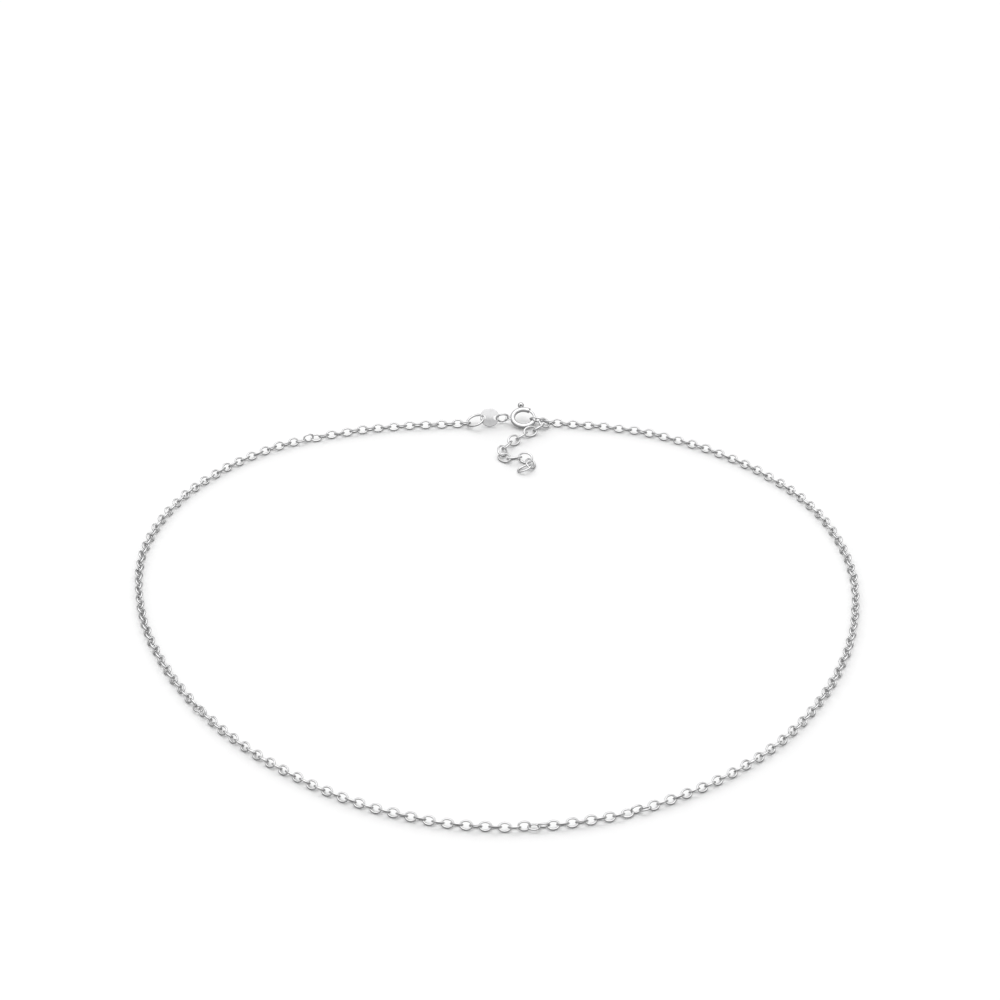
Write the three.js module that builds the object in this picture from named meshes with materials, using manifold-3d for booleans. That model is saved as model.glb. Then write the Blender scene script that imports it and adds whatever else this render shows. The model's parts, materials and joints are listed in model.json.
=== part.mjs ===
// Anchor chain choker in polished silver, closed at the back and lying on a flat surface.
// Millimetres, +Z up. The origin lies on the surface, under the middle of the outline;
// the clasp is at +Y and the front of the necklace at -Y.
import * as THREE from 'three';
import { mergeVertices } from 'three/addons/utils/BufferGeometryUtils.js';
import Module from 'manifold-3d';

const wasm = await Module();
wasm.setup();

// ---------------------------------------------------------------- driving dimensions

const LOOP_CENTRE = { x: -0.06, y: -1.75 };    // the middle of the laid loop, from the origin
const LEAN = 45;                               // chain links lean this far from flat, either way

const CHAIN_LINK = { length: 2.03, width: 1.58, wire: 0.30, sides: 10 };
const CHAIN_LINKS = 251;                       // whole links from ring to ring
const END_LINKS = 3;                           // links made one by one at each end of the chain

const EXTENSION_LINK = { length: 2.80, width: 2.05, wire: 0.33, sides: 14 };
const LINK_PLAY = 0.06;                        // slack between two hooked links
const LIFT = 0.01;                             // the extension's links lie this far clear

const JUMP_RING = { radius: 1.50, wire: 0.40 };
const CLASP_RING = { radius: 1.05, wire: 0.34 };
const END_RING = { radius: 0.92, wire: 0.34 };
const RING_SIDES = 16;
const WIRE_SIDES = 6;

const TAG = { radius: 1.66, thickness: 0.25, holeRadius: 0.43, holeOffset: 1.10 };

const CLASP = {
  radius: 1.93,                                // to the middle of the tube
  tube: 0.43,                                  // outside radius of the tube
  bore: 0.28,                                  // inside radius of the tube
  gateFrom: 2,                                 // the gate, in degrees from +X in the ring's plane
  gateTo: 58,
  slotFrom: 91,                                // the thumb slot
  slotTo: 161,
  slotWidth: 0.40,
  collar: 0.48,                                // outside radius of the band at the gate
  collarAngle: 6,
  eyeRadius: 0.42,                             // soldered eye on the far side from the gate
  eyeWire: 0.26,
  eyeReach: 2.71,
};
const BOLT = {
  wire: 0.21,                                  // radius of the bolt's wire
  tip: -6,                                     // where the closed bolt ends, past the gate
  knobAngle: 99,
  knobReach: 2.95,
  knobRadius: 0.55,
  postWidth: 0.24,
};

// The chain's route round the neck: its distance from the middle of the loop, at equal steps
// of angle from the left end, round the front, to the right end.
const ROUTE_FROM = 94.7;
const ROUTE_TO = 441.1;
const ROUTE_RADII = [
  56.9, 59.0, 62.1, 62.5, 60.6, 57.1, 54.4,
  53.3, 53.6, 55.2, 56.7, 57.0, 56.6, 56.5,
  56.6, 57.7, 59.7, 61.2, 60.9, 59.7, 57.8,
];

// Where the small pieces of the clasp lie, from the middle of the loop, and how they are turned:
// tilt lifts the far edge, slope lifts the right-hand side.
const PLACES = {
  jumpRing: { x: -3.59, y: 56.86, z: 1.02, tilt: 5, slope: 18 },
  tag: { x: -1.05, y: 57.20, z: 1.46, tilt: 56, slope: -2 },
  claspRing: { x: 1.21, y: 57.36, z: 1.27, tilt: 115, slope: 16 },
  clasp: { x: 4.97, y: 57.57, z: 1.14, tilt: 18, slope: 0 },
  endRing: { x: 8.67, y: 56.31, z: 0.85, tilt: 20, slope: -26 },
};

// The extension chain: the way each link points, how it leans, and how its far end is lifted.
const EXTENSION_START = { x: 8.33, y: 55.67 };
const EXTENSION = [
  { heading: -130, lean: 44 },
  { heading: -146, lean: -44 },
  { heading: -129, lean: 42 },
  { heading: -135, lean: -42 },
  { heading: -117, lean: 41 },
  { heading: -109, lean: -41 },
  { heading: -47, lean: 18 },
  { heading: 14, lean: -36 },
  { heading: -26, lean: 50 },
  { heading: -95, lean: -29, climb: -1 },
  { heading: -157, lean: 12, climb: -15 },
];
// The link that the clasp is closed on, between the clasp and the end ring.
const CLASPED_LINK = { x: 7.38, y: 57.03, z: 1.09, heading: -19, lean: -53, climb: 7 };

const deg = THREE.MathUtils.degToRad;

// ---------------------------------------------------------------- helpers

const silver = new THREE.MeshStandardMaterial({ color: 0xe6e7e9, roughness: 0.12, metalness: 1.0 });

function toSolid(geometry) {
  const bare = geometry.clone();
  bare.deleteAttribute('normal');
  bare.deleteAttribute('uv');
  const merged = mergeVertices(bare, 1e-5);
  return new wasm.Manifold(new wasm.Mesh({
    numProp: 3,
    vertProperties: new Float32Array(merged.attributes.position.array),
    triVerts: new Uint32Array(merged.index.array),
  }));
}

function toGeometry(solid) {
  const mesh = solid.getMesh();
  const geometry = new THREE.BufferGeometry();
  geometry.setAttribute('position', new THREE.BufferAttribute(mesh.vertProperties, 3));
  geometry.setIndex(new THREE.BufferAttribute(mesh.triVerts, 1));
  geometry.computeVertexNormals();
  return geometry;
}

function addMesh(parent, name, geometry) {
  const mesh = new THREE.Mesh(geometry, silver.clone());
  mesh.name = name;
  parent.add(mesh);
  return mesh;
}

// Places a piece by its centre, turned by tilt about X after slope about Y.
function place(mesh, { x, y, z, tilt, slope }) {
  mesh.position.set(x, y, z);
  mesh.rotation.set(deg(tilt), deg(-slope), 0, 'YXZ');
  return mesh;
}

// A wire bent to a ring, or to an oval link when it is drawn out to be longer than it is wide.
function wireLoop(radius, wire, longer, sides) {
  const loop = new THREE.TorusGeometry(radius, wire / 2, WIRE_SIDES, sides);
  const position = loop.attributes.position;
  for (let i = 0; i < position.count; i += 1) {
    const turn = 2 * Math.PI * (i % (sides + 1)) / sides;
    position.setX(i, position.getX(i) + Math.cos(turn) * longer / 2);
  }
  return loop;
}

function ovalLink({ length, width, wire, sides }) {
  return wireLoop((width - wire) / 2, wire, length - width, sides);
}

// Lays a link with its long way along heading, leaning on its long axis; climb lifts its far end.
function layLink(mesh, { x, y, z, heading, lean, climb = 0 }) {
  mesh.position.set(x, y, z);
  mesh.rotation.set(deg(lean), deg(-climb), deg(heading), 'ZYX');
  return mesh;
}

// The height of a leaning link's centre when its lowest side touches the surface.
function restHeight({ length, width, wire }, lean, climb = 0) {
  const along = (length - wire) * Math.sin(deg(climb));
  const across = (width - wire) * Math.sin(deg(lean)) * Math.cos(deg(climb));
  return (Math.hypot(along, across) + wire) / 2;
}

// ---------------------------------------------------------------- the chain

const routeStep = (ROUTE_TO - ROUTE_FROM) / (ROUTE_RADII.length - 1);
const route = new THREE.CatmullRomCurve3(ROUTE_RADII.map((radius, i) => {
  const angle = deg(ROUTE_FROM + i * routeStep);
  return new THREE.Vector3(radius * Math.cos(angle), radius * Math.sin(angle), 0);
}), false, 'catmullrom', 0.5);
route.arcLengthDivisions = 4000;

class Stretch extends THREE.Curve {
  constructor(curve, from, to, height) {
    super();
    Object.assign(this, { curve, from, to, height });
  }

  getPoint(t, target = new THREE.Vector3()) {
    return this.curve.getPointAt(this.from + (this.to - this.from) * t, target).setZ(this.height);
  }
}

function buildChain(parent) {
  const height = restHeight(CHAIN_LINK, LEAN);
  const apothem = height;
  const corner = apothem / Math.cos(Math.PI / 8);
  const section = new THREE.Shape();
  for (let i = 0; i < 8; i += 1) {
    const turn = Math.PI / 8 + i * Math.PI / 4;
    if (i === 0) section.moveTo(corner * Math.cos(turn), corner * Math.sin(turn));
    else section.lineTo(corner * Math.cos(turn), corner * Math.sin(turn));
  }
  section.closePath();
  const clearOfEndLinks = (END_LINKS + 0.45) / CHAIN_LINKS;
  const path = new Stretch(route, clearOfEndLinks, 1 - clearOfEndLinks, height);
  addMesh(parent, 'chain', new THREE.ExtrudeGeometry(section, {
    steps: 78, extrudePath: path, bevelEnabled: false,
  }));
}

function buildEndLinks(parent) {
  const sides = [
    { name: 'left_end_link', first: 0 },
    { name: 'right_end_link', first: CHAIN_LINKS - END_LINKS },
  ];
  for (const { name, first } of sides) {
    for (let i = 0; i < END_LINKS; i += 1) {
      const number = first + i;
      const from = route.getPointAt(number / CHAIN_LINKS);
      const to = route.getPointAt((number + 1) / CHAIN_LINKS);
      const link = addMesh(parent, `${name}_${i + 1}`, ovalLink(CHAIN_LINK));
      layLink(link, {
        x: (from.x + to.x) / 2,
        y: (from.y + to.y) / 2,
        z: restHeight(CHAIN_LINK, LEAN),
        heading: THREE.MathUtils.radToDeg(Math.atan2(to.y - from.y, to.x - from.x)),
        lean: number % 2 === 0 ? LEAN : -LEAN,
      });
    }
  }
}

function buildExtension(parent) {
  const pitch = EXTENSION_LINK.length - 2 * EXTENSION_LINK.wire - LINK_PLAY;
  let { x, y } = EXTENSION_START;
  const clasped = addMesh(parent, 'extension_link_01', ovalLink(EXTENSION_LINK));
  layLink(clasped, CLASPED_LINK);
  EXTENSION.forEach(({ heading, lean, climb = 0 }, i) => {
    const step = pitch * Math.cos(deg(climb));
    const dx = step * Math.cos(deg(heading));
    const dy = step * Math.sin(deg(heading));
    const name = `extension_link_${String(i + 2).padStart(2, '0')}`;
    const link = addMesh(parent, name, ovalLink(EXTENSION_LINK));
    layLink(link, {
      x: x + dx / 2,
      y: y + dy / 2,
      z: restHeight(EXTENSION_LINK, lean, climb) + LIFT,
      heading,
      lean,
      climb,
    });
    x += dx;
    y += dy;
  });
}

// ---------------------------------------------------------------- rings and tag

function buildRings(parent) {
  const rings = [
    ['left_jump_ring', JUMP_RING, PLACES.jumpRing],
    ['clasp_ring', CLASP_RING, PLACES.claspRing],
    ['end_ring', END_RING, PLACES.endRing],
  ];
  for (const [name, { radius, wire }, spot] of rings) {
    place(addMesh(parent, name, wireLoop(radius, wire, 0, RING_SIDES)), spot);
  }
}

function buildTag(parent) {
  const disc = new THREE.Shape().absarc(0, 0, TAG.radius, 0, 2 * Math.PI);
  for (const side of [-1, 1]) {
    disc.holes.push(new THREE.Path().absarc(
      side * TAG.holeOffset, 0, TAG.holeRadius, 0, 2 * Math.PI, true));
  }
  const geometry = new THREE.ExtrudeGeometry(disc, {
    depth: TAG.thickness, bevelEnabled: false, curveSegments: 16,
  });
  geometry.translate(0, 0, -TAG.thickness / 2);
  place(addMesh(parent, 'tag', geometry), PLACES.tag);
}

// ---------------------------------------------------------------- spring ring clasp

class Arc extends THREE.Curve {
  constructor(radius, from, to) {
    super();
    Object.assign(this, { radius, from: deg(from), to: deg(to) });
  }

  getPoint(t, target = new THREE.Vector3()) {
    const angle = this.from + (this.to - this.from) * t;
    return target.set(this.radius * Math.cos(angle), this.radius * Math.sin(angle), 0);
  }
}

// A round rod, or a tube when bore is given, bent along part of a circle.
function bentRod(from, to, outside, bore = 0) {
  const section = new THREE.Shape().absarc(0, 0, outside, 0, 2 * Math.PI);
  if (bore > 0) section.holes.push(new THREE.Path().absarc(0, 0, bore, 0, 2 * Math.PI, true));
  return toSolid(new THREE.ExtrudeGeometry(section, {
    steps: Math.ceil((to - from) / 7.5),
    extrudePath: new Arc(CLASP.radius, from, to),
    bevelEnabled: false,
    curveSegments: 6,
  }));
}

function buildClasp(parent) {
  const clasp = new THREE.Group();
  place(clasp, PLACES.clasp);
  parent.add(clasp);

  const tube = bentRod(CLASP.gateTo, CLASP.gateFrom + 360, CLASP.tube, CLASP.bore);
  const collar = bentRod(CLASP.gateTo, CLASP.gateTo + CLASP.collarAngle, CLASP.collar, CLASP.bore);
  const eye = toSolid(new THREE.TorusGeometry(CLASP.eyeRadius, CLASP.eyeWire / 2, 6, 14)
    .translate(-CLASP.eyeReach, 0, 0));
  const slotShape = new THREE.Shape()
    .absarc(0, 0, CLASP.radius + CLASP.tube + 0.2, deg(CLASP.slotFrom), deg(CLASP.slotTo))
    .absarc(0, 0, CLASP.radius, deg(CLASP.slotTo), deg(CLASP.slotFrom), true);
  const slot = toSolid(new THREE.ExtrudeGeometry(slotShape, {
    depth: CLASP.slotWidth, bevelEnabled: false, curveSegments: 12,
  }).translate(0, 0, -CLASP.slotWidth / 2));
  addMesh(clasp, 'spring_ring_body', toGeometry(tube.add(collar).subtract(slot).add(eye)));

  const rod = bentRod(BOLT.tip, BOLT.knobAngle + 4, BOLT.wire);
  const reach = BOLT.knobReach - CLASP.radius;
  const post = toSolid(new THREE.BoxGeometry(reach, BOLT.postWidth, BOLT.postWidth)
    .translate(CLASP.radius + reach / 2, 0, 0)
    .rotateZ(deg(BOLT.knobAngle)));
  const knob = toSolid(new THREE.SphereGeometry(BOLT.knobRadius, 16, 10)
    .translate(BOLT.knobReach, 0, 0)
    .rotateZ(deg(BOLT.knobAngle)));
  addMesh(clasp, 'spring_ring_bolt', toGeometry(rod.add(post).add(knob)));
}

// ---------------------------------------------------------------- the choker

const choker = new THREE.Group();
choker.position.set(LOOP_CENTRE.x, LOOP_CENTRE.y, 0);
buildChain(choker);
buildEndLinks(choker);
buildRings(choker);
buildTag(choker);
buildClasp(choker);
buildExtension(choker);

export default choker;
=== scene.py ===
# The looks of an anchor chain choker in polished silver, laid on a white surface.
# The sections follow the necklace from its chain, by the rings and the tag, to the clasp
# and the extension; the surface and the light come last.
import json
import math

import bpy
from mathutils import Matrix, Vector


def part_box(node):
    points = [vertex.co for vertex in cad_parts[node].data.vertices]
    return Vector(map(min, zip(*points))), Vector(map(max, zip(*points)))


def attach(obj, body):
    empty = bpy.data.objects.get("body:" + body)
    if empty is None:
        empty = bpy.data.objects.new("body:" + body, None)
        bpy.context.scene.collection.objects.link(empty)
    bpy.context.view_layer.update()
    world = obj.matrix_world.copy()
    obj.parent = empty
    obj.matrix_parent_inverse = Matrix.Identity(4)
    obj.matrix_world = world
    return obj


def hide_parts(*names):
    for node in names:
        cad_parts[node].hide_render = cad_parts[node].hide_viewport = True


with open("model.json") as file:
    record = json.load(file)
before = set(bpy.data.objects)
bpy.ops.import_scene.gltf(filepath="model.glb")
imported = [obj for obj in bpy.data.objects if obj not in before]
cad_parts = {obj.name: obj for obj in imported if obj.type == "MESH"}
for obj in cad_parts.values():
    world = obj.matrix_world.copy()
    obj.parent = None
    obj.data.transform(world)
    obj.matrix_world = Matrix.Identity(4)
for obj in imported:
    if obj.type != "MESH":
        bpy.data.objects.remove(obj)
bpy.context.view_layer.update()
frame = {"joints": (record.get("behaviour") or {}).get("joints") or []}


# ------------------------------------------------------------------ the camera
# It looks down at the necklace from the front, from about half a metre away, with a long
# lens, so that the round loop is seen as a wide oval.
MM = 0.001
aim = Vector((0.73, 29.54, 0.6)) * MM
distance = 501.8 * MM
elevation = math.radians(32.65)
camera_data = bpy.data.cameras.new("camera")
camera_data.lens = 105.9
camera_data.sensor_width = 36.0
camera = bpy.data.objects.new("camera", camera_data)
bpy.context.collection.objects.link(camera)
camera.location = aim + distance * Vector((0, -math.cos(elevation), math.sin(elevation)))
camera.rotation_euler = (math.pi / 2 - elevation, 0, 0)
bpy.context.scene.camera = camera


# ------------------------------------------------------------------ the anchor chain
# Fine oval links of round silver wire, each hooked through the next at a right angle. On
# a flat surface they come to lie on their corners, leaning 45 degrees one way and the
# other, and here and there the chain is turned by a quarter.
necklace = "necklace"
link_length = 2.03 * MM
link_width = 1.58 * MM
link_wire = 0.30 * MM
chain_links = 251
end_links = 3
loop_centre = Vector((-0.06, -1.75, 0)) * MM
route_from = 94.7
route_to = 441.1
route_radii = [
    56.9, 59.0, 62.1, 62.5, 60.6, 57.1, 54.4,
    53.3, 53.6, 55.2, 56.7, 57.0, 56.6, 56.5,
    56.6, 57.7, 59.7, 61.2, 60.9, 59.7, 57.8,
]
# How far a link is moved along the chain from even spacing, in links. Partly it
# is slack, and partly it makes up for a route that isn't quite right: around links 85, 154
# and 166 it spaces them 1 to 2.5 per cent further apart than such links can reach.
moved_links = [
    (0, 0.0), (10, 0.12), (30, 0.2), (42, 0.0), (54, -0.05), (64, -0.6), (73, -1.25),
    (82, -1.2), (90, -1.0), (112, -1.0), (124, -1.1), (136, -1.0), (148, -0.85),
    (160, -0.57), (172, -0.2), (190, 0.05), (202, 0.2), (214, 0.35), (226, 0.3),
    (238, 0.14), (251, 0.0),
]
corner_lean = 45
# The links where the chain is turned, and by how many quarters.
quarter_turns = [(20, 1), (87, -1), (130.95, 1), (142, -1)]
turn_spread = 2.4
link_corners = 12
wire_corners = 6
lean_play = math.radians(4)
side_play = 0.03 * MM
hooked_height = 0.45 * MM


def deselect():
    """Leaves edit mode and selects nothing, so that no operator reaches an earlier piece."""
    if bpy.context.object and bpy.context.object.mode != "OBJECT":
        bpy.ops.object.mode_set(mode="OBJECT")
    bpy.ops.object.select_all(action="DESELECT")


def select_only(piece):
    """Selects one piece and makes it the active one."""
    deselect()
    piece.select_set(True)
    bpy.context.view_layer.objects.active = piece


def oval_link(length, width, wire, sides, wire_sides):
    """A closed oval bent from round wire, its long way along X, at the origin."""
    deselect()
    bpy.ops.curve.primitive_bezier_circle_add(radius=1.0)
    bend = bpy.context.object
    bpy.ops.object.mode_set(mode="EDIT")
    bpy.ops.curve.select_all(action="SELECT")
    bpy.ops.transform.resize(
        value=((length - wire) / 2, (width - wire) / 2, 1), center_override=(0, 0, 0))
    bpy.ops.object.mode_set(mode="OBJECT")
    bend.data.dimensions = "3D"
    bend.data.resolution_u = sides // 4
    bend.data.bevel_depth = wire / 2
    bend.data.bevel_resolution = wire_sides // 2 - 2
    bpy.ops.object.convert(target="MESH")
    bpy.ops.object.shade_smooth()
    return bpy.context.object


def copy_of(pattern, name):
    """Another piece like the pattern, with a mesh of its own."""
    copy = bpy.data.objects.new(name, pattern.data.copy())
    bpy.context.collection.objects.link(copy)
    return copy


patches_per_metre = 1100.0
soiled_up_to = 0.30
clean_from = 0.55
glossiest = 0.75
dullest = 1.35
scratch_stretch = (1.0, 7.0, 3.0)
scratch_turn = (0.4, 0.3, 0.7)
scratch_strength = 0.35


def silver(name, colour, roughness, scratch_size, scratch_depth, soil):
    """Polished silver with fine handling scratches and a little grey in patches."""
    material = bpy.data.materials.new(name)
    material.use_nodes = True
    nodes = material.node_tree.nodes
    links = material.node_tree.links
    shader = nodes["Principled BSDF"]
    shader.inputs["Metallic"].default_value = 1.0
    place = nodes.new("ShaderNodeTexCoord")

    patches = nodes.new("ShaderNodeTexNoise")
    patches.inputs["Scale"].default_value = patches_per_metre
    patches.inputs["Detail"].default_value = 3.0
    links.new(place.outputs["Object"], patches.inputs["Vector"])
    tone = nodes.new("ShaderNodeValToRGB")
    tone.color_ramp.elements[0].position = soiled_up_to
    tone.color_ramp.elements[0].color = [c * soil for c in colour] + [1]
    tone.color_ramp.elements[1].position = clean_from
    tone.color_ramp.elements[1].color = list(colour) + [1]
    links.new(patches.outputs["Fac"], tone.inputs["Fac"])
    links.new(tone.outputs["Color"], shader.inputs["Base Color"])

    gloss = nodes.new("ShaderNodeMapRange")
    gloss.inputs["To Min"].default_value = roughness * glossiest
    gloss.inputs["To Max"].default_value = roughness * dullest
    links.new(patches.outputs["Fac"], gloss.inputs["Value"])
    links.new(gloss.outputs["Result"], shader.inputs["Roughness"])

    stretch = nodes.new("ShaderNodeMapping")
    stretch.inputs["Rotation"].default_value = scratch_turn
    stretch.inputs["Scale"].default_value = scratch_stretch
    scratches = nodes.new("ShaderNodeTexNoise")
    scratches.inputs["Scale"].default_value = 1.0 / scratch_size
    scratches.inputs["Detail"].default_value = 4.0
    bump = nodes.new("ShaderNodeBump")
    bump.inputs["Strength"].default_value = scratch_strength
    bump.inputs["Distance"].default_value = scratch_depth
    links.new(place.outputs["Object"], stretch.inputs["Vector"])
    links.new(stretch.outputs["Vector"], scratches.inputs["Vector"])
    links.new(scratches.outputs["Fac"], bump.inputs["Height"])
    links.new(bump.outputs["Normal"], shader.inputs["Normal"])
    return material


def route_line(steps=60):
    """Points along the chain's route, close together."""
    step = (route_to - route_from) / (len(route_radii) - 1)
    knots = []
    for i, radius in enumerate(route_radii):
        angle = math.radians(route_from + i * step)
        knots.append(loop_centre + radius * MM * Vector((math.cos(angle), math.sin(angle), 0)))
    knots.insert(0, 2 * knots[0] - knots[1])
    knots.append(2 * knots[-1] - knots[-2])
    line = []
    for before, start, end, after in zip(knots, knots[1:], knots[2:], knots[3:]):
        for j in range(steps):
            t = j / steps
            line.append(0.5 * (
                2 * start + (end - before) * t
                + (2 * before - 5 * start + 4 * end - after) * t * t
                + (3 * start - before - 3 * end + after) * t ** 3))
    line.append(knots[-2])
    return line


def moved_by(number):
    """How far along the chain a link is moved, in links."""
    for (start, before), (end, after) in zip(moved_links, moved_links[1:]):
        if number <= end:
            t = (number - start) / (end - start)
            return before + (after - before) * t * t * (3 - 2 * t)
    return 0.0


def joint_points(line, count):
    """The count + 1 points along a line of points where the links hook together."""
    far = [0.0]
    for a, b in zip(line, line[1:]):
        far.append(far[-1] + (b - a).length)
    points = []
    i = 0
    for k in range(count + 1):
        want = far[-1] * (k + moved_by(k)) / count
        while i < len(line) - 2 and far[i + 1] < want:
            i += 1
        share = (want - far[i]) / (far[i + 1] - far[i])
        points.append(line[i].lerp(line[i + 1], min(share, 1.0)))
    return points


def chain_lean(number):
    """How far link number leans: 45 degrees either way, carried round by the turns."""
    lean = corner_lean if number % 2 == 0 else -corner_lean
    for place, quarters in quarter_turns:
        t = min(max((number - place) / turn_spread * 0.5 + 0.5, 0.0), 1.0)
        lean += 90 * quarters * t * t * (3 - 2 * t)
    return math.radians(lean)


chain_silver = silver(
    "chain_silver", (0.90, 0.90, 0.905), 0.10, 0.10 * MM, 0.004 * MM, 0.91)
joints = joint_points(route_line(), chain_links)
pattern = oval_link(link_length, link_width, link_wire, link_corners, wire_corners)
copies = []
for number in range(end_links, chain_links - end_links):
    a, b = joints[number], joints[number + 1]
    heading = math.atan2(b.y - a.y, b.x - a.x)
    lean = chain_lean(number) + lean_play * math.sin(2.3 * number)
    centre = (a + b) / 2 + Vector((-math.sin(heading), math.cos(heading), 0)) * (
        side_play * math.sin(1.7 * number))
    rest_height = ((link_width - link_wire) * abs(math.sin(lean)) + link_wire) / 2
    centre.z = max(rest_height, hooked_height)
    copy = copy_of(pattern, "link")
    copy.data.transform(
        Matrix.Translation(centre) @ Matrix.Rotation(heading, 4, "Z")
        @ Matrix.Rotation(lean, 4, "X"))
    copies.append(copy)
bpy.data.objects.remove(pattern)
deselect()
for copy in copies:
    copy.select_set(True)
bpy.context.view_layer.objects.active = copies[0]
bpy.ops.object.join()
anchor_chain = bpy.context.object
anchor_chain.name = "anchor_chain"
anchor_chain.data.materials.clear()
anchor_chain.data.materials.append(chain_silver)
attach(anchor_chain, necklace)
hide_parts("chain")


# ------------------------------------------------------------------ the end links
# The last three links at each end of the chain, the same as the others. The outermost
# ones are hooked to the jump ring on the left and to the end ring on the right.
end_link_corners = 32
end_wire_corners = 12


def apply_place(piece):
    """Works a piece's place and turn into its mesh."""
    select_only(piece)
    bpy.ops.object.transform_apply(location=True, rotation=True, scale=True)


def lay_link(piece, node, heading, lean, climb=0.0):
    """Lays a link in the middle of its node's box, along heading, leaning on its long axis."""
    low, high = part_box(node)
    piece.location = (Vector(low) + Vector(high)) / 2
    piece.rotation_euler = (lean, -climb, heading)
    apply_place(piece)


pattern = oval_link(
    link_length, link_width, link_wire, end_link_corners, end_wire_corners)
for side, first in (("left", 0), ("right", chain_links - end_links)):
    for i in range(end_links):
        a, b = joints[first + i], joints[first + i + 1]
        node = f"{side}_end_link_{i + 1}"
        end_link = copy_of(pattern, f"{side}_chain_link_{i + 1}")
        lay_link(end_link, node, math.atan2(b.y - a.y, b.x - a.x),
                 math.radians(corner_lean if (first + i) % 2 == 0 else -corner_lean))
        end_link.data.materials.append(chain_silver)
        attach(end_link, necklace)
        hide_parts(node)
bpy.data.objects.remove(pattern)


# ------------------------------------------------------------------ the jump rings
# Rings bent from round wire: the stout one on the chain's left end, the one between the
# tag and the clasp, and the one that joins the chain's right end to the extension. The
# cut where each was closed still shows as a hairline.
ring_silver = silver(
    "ring_silver", (0.88, 0.88, 0.885), 0.09, 0.14 * MM, 0.004 * MM, 0.92)
cut_width = 0.03 * MM
ring_corners = 64
ring_wire_corners = 20


def edit_points(piece, wanted):
    """Goes into edit mode with just the points selected for which wanted(co) is true."""
    select_only(piece)
    mesh = piece.data
    for face in mesh.polygons:
        face.select = False
    for edge in mesh.edges:
        edge.select = False
    for point in mesh.vertices:
        point.select = wanted(point.co)
    bpy.ops.object.mode_set(mode="EDIT")
    bpy.ops.mesh.select_mode(type="VERT")


def edit_faces(piece, wanted):
    """Goes into edit mode with just the faces selected for which wanted(centre) is true."""
    select_only(piece)
    mesh = piece.data
    for point in mesh.vertices:
        point.select = False
    for edge in mesh.edges:
        edge.select = False
    for face in mesh.polygons:
        face.select = wanted(face.center)
    bpy.ops.object.mode_set(mode="EDIT")
    bpy.ops.mesh.select_mode(type="FACE")


def jump_ring(name, node, radius, wire, tilt, slope, cut_angle):
    """A ring with its hairline cut, laid in its node's box at its tilt and slope."""
    deselect()
    bpy.ops.mesh.primitive_torus_add(
        major_segments=ring_corners, minor_segments=ring_wire_corners,
        major_radius=radius, minor_radius=wire / 2)
    ring = bpy.context.object
    ring.name = name
    near_cut = radius * 0.2
    for way in (-1, 1):
        edit_points(ring, lambda co: co.x > 0 and abs(co.y) < near_cut)
        bpy.ops.mesh.bisect(
            plane_co=(0, way * cut_width / 2, 0), plane_no=(0, 1, 0))
        bpy.ops.object.mode_set(mode="OBJECT")
    edit_faces(ring, lambda co: co.x > 0 and abs(co.y) < cut_width / 2)
    bpy.ops.mesh.delete(type="FACE")
    for way in (-1, 1):
        bpy.ops.object.mode_set(mode="OBJECT")
        edit_points(ring, lambda co, way=way: (
            co.x > 0 and abs(co.y - way * cut_width / 2) < 1e-7))
        bpy.ops.mesh.edge_face_add()
    bpy.ops.object.mode_set(mode="OBJECT")
    select_only(ring)
    bpy.ops.object.shade_smooth_by_angle(angle=math.radians(40))
    ring.rotation_euler = (0, 0, cut_angle)
    apply_place(ring)
    low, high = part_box(node)
    ring.location = (Vector(low) + Vector(high)) / 2
    ring.rotation_euler = (tilt, -slope, 0)
    apply_place(ring)
    ring.data.materials.append(ring_silver)
    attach(ring, necklace)
    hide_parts(node)


jump_ring("stout_jump_ring", "left_jump_ring", 1.50 * MM, 0.40 * MM,
          math.radians(5), math.radians(18), math.radians(75))
jump_ring("tag_jump_ring", "clasp_ring", 1.05 * MM, 0.34 * MM,
          math.radians(115), math.radians(16), math.radians(100))
jump_ring("extension_jump_ring", "end_ring", 0.92 * MM, 0.34 * MM,
          math.radians(20), math.radians(-26), math.radians(60))


# ------------------------------------------------------------------ the tag
# A small round disc stamped from sheet and very slightly domed by the stamp, with a hole
# at each side for the rings. Its rim is tumbled soft, and both faces are polished and bare.
tag_radius = 1.66 * MM
tag_thickness = 0.25 * MM
tag_dome = 0.10 * MM
tag_rim = 0.08 * MM
tag_insets = 10
hole_radius = 0.43 * MM
hole_offset = 1.10 * MM
hole_edge = 0.03 * MM
rim_corners = 96
hole_corners = 48
tag_tilt = math.radians(56)
tag_slope = math.radians(-2)
# The tag's silver is a little darker than the chain's: painted shade, not a different metal.
tag_silver = silver(
    "tag_silver", (0.87, 0.87, 0.875), 0.12, 0.20 * MM, 0.006 * MM, 0.93)


def tag_height(radius):
    """How far the sheet is domed up at a radius."""
    return tag_dome * (1 - (radius / tag_radius) ** 2)


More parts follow.
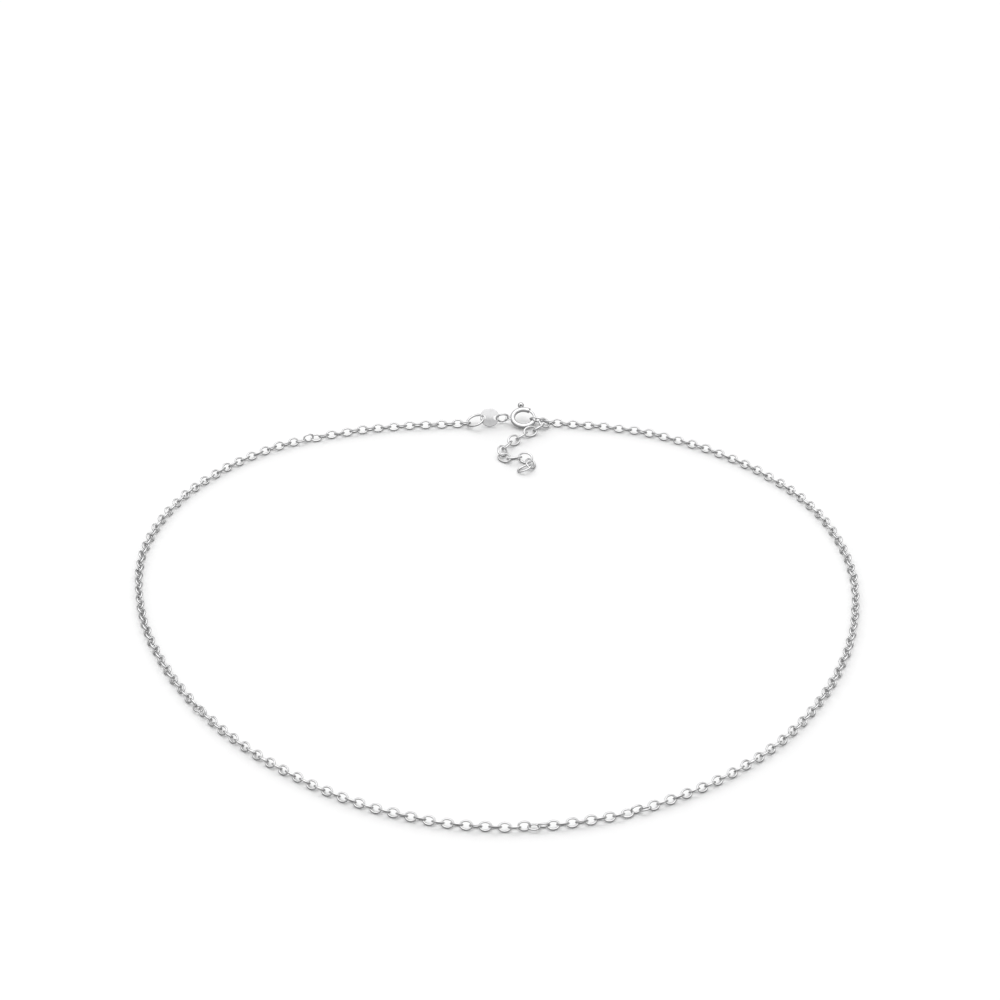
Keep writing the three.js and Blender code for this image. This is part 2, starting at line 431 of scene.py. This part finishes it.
deselect()
bpy.ops.mesh.primitive_cylinder_add(
    vertices=rim_corners, radius=tag_radius, depth=tag_thickness)
tag = bpy.context.object
rim = tag.modifiers.new("rim", "BEVEL")
rim.width = tag_rim
rim.segments = 4
rim.limit_method = "ANGLE"
rim.angle_limit = math.radians(60)
bpy.ops.object.modifier_apply(modifier="rim")
for side in (-1, 1):
    edit_faces(tag, lambda co, side=side: side * co.z > 0.499 * tag_thickness)
    inset = (tag_radius - tag_rim) / (tag_insets + 1)
    for i in range(tag_insets):
        outer = tag_radius - tag_rim - i * inset
        lift = tag_height(outer - inset) - tag_height(outer)
        bpy.ops.mesh.inset(thickness=inset, depth=side * lift)
    bpy.ops.object.mode_set(mode="OBJECT")
tag.name = "round_tag"
for way in (-1, 1):
    deselect()
    bpy.ops.mesh.primitive_cylinder_add(
        vertices=hole_corners, radius=hole_radius, depth=4 * tag_thickness,
        location=(way * hole_offset, 0, 0))
    drill = bpy.context.object
    select_only(tag)
    cut = tag.modifiers.new("hole", "BOOLEAN")
    cut.operation = "DIFFERENCE"
    cut.object = drill
    bpy.ops.object.modifier_apply(modifier="hole")
    bpy.data.objects.remove(drill)
bevel = tag.modifiers.new("soft_edge", "BEVEL")
bevel.width = hole_edge
bevel.segments = 2
bevel.limit_method = "ANGLE"
bevel.angle_limit = math.radians(60)
bpy.ops.object.modifier_apply(modifier="soft_edge")
bpy.ops.object.shade_smooth_by_angle(angle=math.radians(35))
low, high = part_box("tag")
tag.location = (Vector(low) + Vector(high)) / 2
tag.rotation_euler = (tag_tilt, -tag_slope, 0)
apply_place(tag)
tag.data.materials.append(tag_silver)
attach(tag, necklace)
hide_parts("tag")


# ------------------------------------------------------------------ the spring ring
# A thin silver tube bent almost to a full circle. Two turned beads close the tube at the
# gate, a slot for the thumb knob is milled in its outer side, and a small eye is soldered on.
hinge = frame["joints"][0]
clasp_centre = Vector(hinge["pos_m"])
clasp_axis = Vector(hinge["axis"]).normalized()
clasp_tilt = math.atan2(-clasp_axis.y, clasp_axis.z)
ring_radius = 1.93 * MM
tube_radius = 0.43 * MM
bore_radius = 0.28 * MM
gate = (2.5, 57.5)
beads = [(57.5, 60.5), (62.0, 65.0)]
bead_radius = 0.48 * MM
slot_span = (90.0, 160.0)
slot_half_angle = 28
tube_steps = 144
tube_corners = 26
tube_edge = 0.025 * MM
eye_radius = 0.42 * MM
eye_wire = 0.26 * MM
eye_reach = 2.71 * MM
# The clasp's silver is a little darker than the chain's: painted shade, not a different metal.
clasp_silver = silver(
    "clasp_silver", (0.88, 0.88, 0.885), 0.08, 0.18 * MM, 0.004 * MM, 0.93)


def around(co):
    """The angle of a point round the clasp, in degrees, from -90 to 270."""
    return (math.degrees(math.atan2(co.y, co.x)) + 90) % 360 - 90


def round_tube(co):
    """The angle of a point round the tube's own section, in degrees: 0 is the outer side."""
    return math.degrees(math.atan2(co.z, math.hypot(co.x, co.y) - ring_radius))


def bent_tube(wanted, radius, wall):
    """A stretch of the clasp's circle as a tube with a wall, with softened ends."""
    deselect()
    bpy.ops.mesh.primitive_torus_add(
        major_segments=tube_steps, minor_segments=tube_corners, major_radius=ring_radius,
        minor_radius=radius)
    piece = bpy.context.object
    edit_faces(piece, lambda co: not wanted(co))
    bpy.ops.mesh.delete(type="FACE")
    bpy.ops.object.mode_set(mode="OBJECT")
    shell = piece.modifiers.new("wall", "SOLIDIFY")
    shell.thickness = wall
    shell.offset = -1
    bpy.ops.object.modifier_apply(modifier="wall")
    soft = piece.modifiers.new("soft", "BEVEL")
    soft.width = tube_edge
    soft.segments = 2
    soft.limit_method = "ANGLE"
    soft.angle_limit = math.radians(60)
    bpy.ops.object.modifier_apply(modifier="soft")
    return piece


def set_on_clasp(piece):
    """Moves a piece made flat at the origin to the clasp's place and tilt."""
    piece.location = clasp_centre
    piece.rotation_euler = (clasp_tilt, 0, 0)
    apply_place(piece)


spring_ring = bent_tube(
    lambda co: not (gate[0] < around(co) < gate[1])
    and not (slot_span[0] < around(co) < slot_span[1]
             and abs(round_tube(co)) < slot_half_angle),
    tube_radius, tube_radius - bore_radius)
collar = []
for start, end in beads:
    collar.append(bent_tube(
        lambda co, start=start, end=end: start < around(co) < end,
        bead_radius, bead_radius - bore_radius))
deselect()
bpy.ops.mesh.primitive_torus_add(
    major_segments=40, minor_segments=16, major_radius=eye_radius,
    minor_radius=eye_wire / 2, location=(-eye_reach, 0, 0))
eye = bpy.context.object
deselect()
for piece in (eye, *collar, spring_ring):
    piece.select_set(True)
bpy.context.view_layer.objects.active = spring_ring
bpy.ops.object.join()
spring_ring.name = "spring_ring"
bpy.ops.object.shade_smooth_by_angle(angle=math.radians(40))
set_on_clasp(spring_ring)
spring_ring.data.materials.append(clasp_silver)
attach(spring_ring, necklace)
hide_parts("spring_ring_body")


# ------------------------------------------------------------------ the bolt
# A curved wire that closes the gate and slides back into the tube when its knob is pushed
# along the slot. The knob is a little ball on a stalk with a shallow dimple in its crown,
# painted near-black inside: painted shade that stands in for the dark of a small hole.
bolt_radius = 0.21 * MM
bolt_span = (-5.0, 102.5)
bolt_edge = 0.07 * MM
knob_angle = math.radians(99)
knob_reach = 2.95 * MM
knob_radius = 0.55 * MM
dimple_angle = math.radians(20)
dimple_depth = 0.14 * MM
dimple_turn = math.radians(36)
# Near-black painted shade for the inside of the knob's dimple.
dimple_painted_shade = silver(
    "dimple_painted_shade", (0.03, 0.03, 0.032), 0.45, 0.05 * MM, 0.004 * MM, 0.60)
stalk_radius = 0.13 * MM

deselect()
bpy.ops.mesh.primitive_torus_add(
    major_segments=tube_steps, minor_segments=16, major_radius=ring_radius,
    minor_radius=bolt_radius)
bolt = bpy.context.object
edit_faces(bolt, lambda co: not bolt_span[0] < around(co) < bolt_span[1])
bpy.ops.mesh.delete(type="FACE")
for end in bolt_span:
    bpy.ops.object.mode_set(mode="OBJECT")
    edit_points(bolt, lambda co, end=end: abs(around(co) - end) < 0.5)
    bpy.ops.mesh.edge_face_add()
    bpy.ops.mesh.bevel(offset=bolt_edge, segments=3, affect="EDGES")
bpy.ops.object.mode_set(mode="OBJECT")

middle = (ring_radius + knob_reach) / 2
deselect()
bpy.ops.mesh.primitive_cylinder_add(
    vertices=20, radius=stalk_radius, depth=knob_reach - ring_radius,
    location=(middle * math.cos(knob_angle), middle * math.sin(knob_angle), 0),
    rotation=(0, math.pi / 2, knob_angle))
stalk = bpy.context.object

deselect()
bpy.ops.mesh.primitive_uv_sphere_add(segments=40, ring_count=20, radius=knob_radius)
knob = bpy.context.object
lip_height = knob_radius * math.cos(dimple_angle)
edit_points(knob, lambda co: co.z > lip_height)
bpy.ops.transform.resize(
    value=(1, 1, -dimple_depth / (knob_radius - lip_height)),
    center_override=(0, 0, lip_height))
bpy.ops.object.mode_set(mode="OBJECT")
knob.data.materials.append(clasp_silver)
knob.data.materials.append(dimple_painted_shade)
dimple_radius = knob_radius * math.sin(dimple_angle)
# The faces inside the dimple take the painted shade.
for face in knob.data.polygons:
    if face.center.z > 0 and math.hypot(face.center.x, face.center.y) < dimple_radius:
        face.material_index = 1
knob.rotation_euler = (dimple_turn, 0, 0)
knob.location = (knob_reach * math.cos(knob_angle), knob_reach * math.sin(knob_angle), 0)
apply_place(knob)
deselect()
for piece in (stalk, knob, bolt):
    if not piece.data.materials:
        piece.data.materials.append(clasp_silver)
    piece.select_set(True)
bpy.context.view_layer.objects.active = bolt
bpy.ops.object.join()
bolt.name = "clasp_bolt"
bpy.ops.object.shade_smooth_by_angle(angle=math.radians(40))
set_on_clasp(bolt)
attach(bolt, "bolt")
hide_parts("spring_ring_bolt")


# ------------------------------------------------------------------ the extension
# A short run of larger oval links, so that the clasp can be hooked where it suits. The
# clasp is closed on the first one; the rest lie in a zigzag inside the loop.
extension_length = 2.80 * MM
extension_width = 2.05 * MM
extension_wire = 0.33 * MM
extension_corners = 40
extension_wire_corners = 14
# The extension's silver is a little lighter than the chain's: painted light that offsets the
# shade among its stacked links.
extension_silver_painted_lighter = silver(
    "extension_silver_painted_lighter", (0.94, 0.94, 0.945), 0.09, 0.12 * MM, 0.004 * MM, 0.95)
# Which way each link points, how far it leans and how far its end is lifted, in degrees.
extension_links = [
    (-19, -53, 7), (-130, 44, 0), (-146, -44, 0), (-129, 42, 0), (-135, -42, 0),
    (-117, 41, 0), (-109, -41, 0), (-47, 18, 0), (14, -36, 0), (-26, 50, 0),
    (-95, -29, -1), (-157, 12, -15),
]
pattern = oval_link(
    extension_length, extension_width, extension_wire,
    extension_corners, extension_wire_corners)
for i, (heading, lean, climb) in enumerate(extension_links):
    extension_link = copy_of(pattern, f"extension_chain_link_{i + 1:02d}")
    node = f"extension_link_{i + 1:02d}"
    lay_link(extension_link, node,
             math.radians(heading), math.radians(lean), math.radians(climb))
    extension_link.data.materials.append(extension_silver_painted_lighter)
    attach(extension_link, necklace)
    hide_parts(node)
bpy.data.objects.remove(pattern)


# ------------------------------------------------------------------ the surface and the light
# A matt white table in a light tent. A broad soft light stands low behind the necklace, and
# the tent's roof is its brightest part: low down the silver shows grey. The table is white to
# the eye, but where the silver mirrors it, it is painted grey: a painted reflection that
# darkens the silver's edges.
floor_size = 6.0
floor_white = 0.93
floor_painted_grey_in_reflections = 0.30
back_light_strength = 3.3
back_light_spread = math.radians(90)
back_light_from = Vector((-0.15, 1.0, 0.55))
room_strength = 0.60
tent_strength = 1.5
# How bright the tent is, from the table's level (0) up to its roof (1).
tent_tones = [
    (0.00, 0.08), (0.17, 0.10), (0.34, 0.47), (0.54, 0.38), (0.61, 0.63), (0.76, 0.64),
    (0.88, 0.95),
]

deselect()
bpy.ops.mesh.primitive_plane_add(size=floor_size)
floor = bpy.context.object
floor.name = "floor"
floor_material = bpy.data.materials.new("floor_white")
floor_material.use_nodes = True
nodes = floor_material.node_tree.nodes
links = floor_material.node_tree.links
nodes.remove(nodes["Principled BSDF"])
white = nodes.new("ShaderNodeBsdfDiffuse")
white.inputs["Color"].default_value = [floor_white] * 3 + [1]
# Painted reflection: the grey that the polished metal mirrors in place of the table's white.
grey = nodes.new("ShaderNodeBsdfDiffuse")
grey.inputs["Color"].default_value = [floor_painted_grey_in_reflections] * 3 + [1]
seen_by = nodes.new("ShaderNodeLightPath")
either = nodes.new("ShaderNodeMixShader")
links.new(seen_by.outputs["Is Glossy Ray"], either.inputs["Fac"])
links.new(white.outputs["BSDF"], either.inputs[1])
links.new(grey.outputs["BSDF"], either.inputs[2])
links.new(either.outputs["Shader"], nodes["Material Output"].inputs["Surface"])
floor.data.materials.append(floor_material)

back_light_data = bpy.data.lights.new("back_light", "SUN")
back_light_data.energy = back_light_strength
back_light_data.angle = back_light_spread
back_light = bpy.data.objects.new("back_light", back_light_data)
bpy.context.collection.objects.link(back_light)
back_light.rotation_euler = back_light_from.to_track_quat("Z", "Y").to_euler()
back_light.visible_glossy = False

world = bpy.data.worlds.new("studio")
world.use_nodes = True
nodes = world.node_tree.nodes
links = world.node_tree.links
plain = nodes["Background"]
plain.inputs["Color"].default_value = (1, 1, 1, 1)
plain.inputs["Strength"].default_value = room_strength
direction = nodes.new("ShaderNodeTexCoord")
split = nodes.new("ShaderNodeSeparateXYZ")
tones = nodes.new("ShaderNodeValToRGB")
tones.color_ramp.interpolation = "EASE"
for place, tone in tent_tones[1:-1]:
    tones.color_ramp.elements.new(place)
for stop, (place, tone) in zip(tones.color_ramp.elements, tent_tones):
    stop.position = place
    stop.color = (tone, tone, tone, 1)
tent = nodes.new("ShaderNodeBackground")
tent.inputs["Strength"].default_value = tent_strength
seen_by = nodes.new("ShaderNodeLightPath")
either = nodes.new("ShaderNodeMixShader")
links.new(direction.outputs["Generated"], split.inputs["Vector"])
links.new(split.outputs["Z"], tones.inputs["Fac"])
links.new(tones.outputs["Color"], tent.inputs["Color"])
links.new(seen_by.outputs["Is Glossy Ray"], either.inputs["Fac"])
links.new(plain.outputs["Background"], either.inputs[1])
links.new(tent.outputs["Background"], either.inputs[2])
links.new(either.outputs["Shader"], nodes["World Output"].inputs["Surface"])
bpy.context.scene.world = world
bpy.context.scene.view_settings.view_transform = "Standard"
